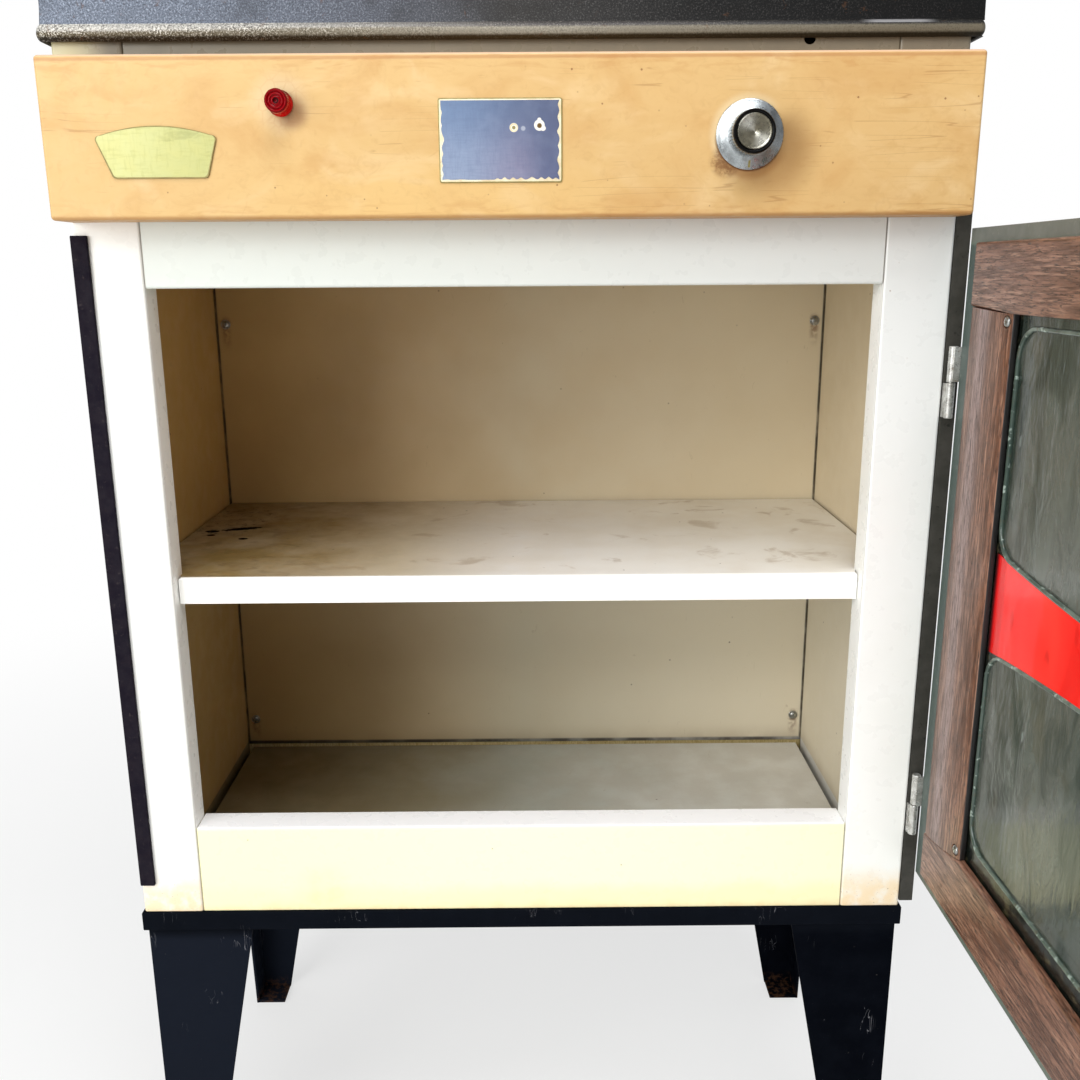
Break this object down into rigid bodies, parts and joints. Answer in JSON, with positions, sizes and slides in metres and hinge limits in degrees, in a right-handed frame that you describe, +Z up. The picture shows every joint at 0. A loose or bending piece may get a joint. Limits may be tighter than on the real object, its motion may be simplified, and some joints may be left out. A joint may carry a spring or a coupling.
{
  "type": "laboratory incubator",
  "caption": "Free-standing heated cabinet with a glazed, wood-lined swing door, one fixed shelf, a control panel with thermostat knob and pilot lamp, a lift-off top cover and tapered legs.",
  "frame": {"origin": "middle of the bottom of the overall box with the door open at right angles, on the floor", "axes": "+Z up, +Y from the front of the cabinet to its back, +X to the right as seen from the front, the side where the door hangs"},
  "size_m": [0.6603, 0.9379, 0.962],
  "materials": {
    "black_enamel": "semi-gloss black stove enamel, chipped",
    "ivory_enamel": "glossy ivory enamel, yellowed at the bottom edge",
    "chamber_enamel": "aged cream enamel",
    "aged_cream_enamel": "yellowed, brown-stained cream enamel",
    "tinplate": "tarnished tinplate with rust specks",
    "badge_foil": "pale lacquered metal, blank",
    "plate_foil": "blue printed metal plate, blank, print flaking at the rim",
    "red_lens": "translucent red plastic",
    "turned_aluminium": "turned and lacquered",
    "bakelite": "black bakelite",
    "zinc_steel": "zinc-plated steel",
    "walnut": "satin-varnished walnut",
    "door_enamel": "grey-green enamel",
    "window_glass": "wavy grey-green glass with a red band",
    "seal_rubber": "matt dark rubber tape",
    "mineral_wool": "mineral wool blanket",
    "heater_mica": "mica heater plate",
    "copper": "copper bulb and capillary",
    "flex": "black rubber flex"
  },
  "bodies": {
    "cabinet": {"back_panel": "ivory_enamel", "base_frame": "black_enamel", "bottom_rail": "ivory_enamel", "carcass_bottom": "chamber_enamel", "carcass_top": "chamber_enamel", "chamber_floor": "chamber_enamel", "control_panel": "aged_cream_enamel", "header_board": "ivory_enamel", "heater_plate": "heater_mica", "hinge_angle": "door_enamel", "hinge_lower_cabinet_leaf": "zinc_steel", "hinge_upper_cabinet_leaf": "zinc_steel", "insulation_blanket": "mineral_wool", "lamp_holder": "zinc_steel", "lamp_lens": "red_lens", "left_side_panel": "ivory_enamel", "left_stile": "ivory_enamel", "leg_front_left": "black_enamel", "leg_front_right": "black_enamel", "leg_rear_left": "black_enamel", "leg_rear_right": "black_enamel", "liner_back": "chamber_enamel", "liner_left": "chamber_enamel", "liner_right": "chamber_enamel", "liner_screw_lower_left": "zinc_steel", "liner_screw_lower_right": "zinc_steel", "liner_screw_upper_left": "zinc_steel", "liner_screw_upper_right": "zinc_steel", "liner_top": "chamber_enamel", "name_badge": "badge_foil", "power_cord": "flex", "rating_plate": "plate_foil", "right_side_panel": "ivory_enamel", "right_stile": "ivory_enamel", "seal_strip": "seal_rubber", "shelf": "chamber_enamel", "shelf_runner_left": "chamber_enamel", "shelf_runner_right": "chamber_enamel", "terminal_block": "bakelite", "thermostat_body": "bakelite", "thermostat_bulb": "copper", "top_cover": "tinplate", "wiring_loom": "flex"},
    "door": {"door_frame": "door_enamel", "glass_pane": "window_glass", "wood_rail_top": "walnut", "wood_rail_bottom": "walnut", "wood_stile_hinge_side": "walnut", "wood_stile_latch_side": "walnut", "door_pull": "turned_aluminium", "door_screw_lower_hinge_side": "zinc_steel", "door_screw_upper_hinge_side": "zinc_steel", "door_screw_lower_latch_side": "zinc_steel", "door_screw_upper_latch_side": "zinc_steel", "hinge_lower_door_leaf": "zinc_steel", "hinge_upper_door_leaf": "zinc_steel"},
    "knob": {"knob_skirt": "turned_aluminium", "knob_grip": "bakelite", "knob_cap": "turned_aluminium", "thermostat_shaft": "zinc_steel"}
  },
  "joints": [
    {"name": "door_hinge", "type": "hinge", "parent": "cabinet", "child": "door", "pos_m": [0.28075, 0.134, 0.567], "axis": [0, 0, 1], "range_deg": [-90, 50]},
    {"name": "thermostat_knob", "type": "hinge", "parent": "cabinet", "child": "knob", "pos_m": [0.12835, 0.1085, 0.866], "axis": [0, 1, 0], "range_deg": [0, 270]}
  ]
}
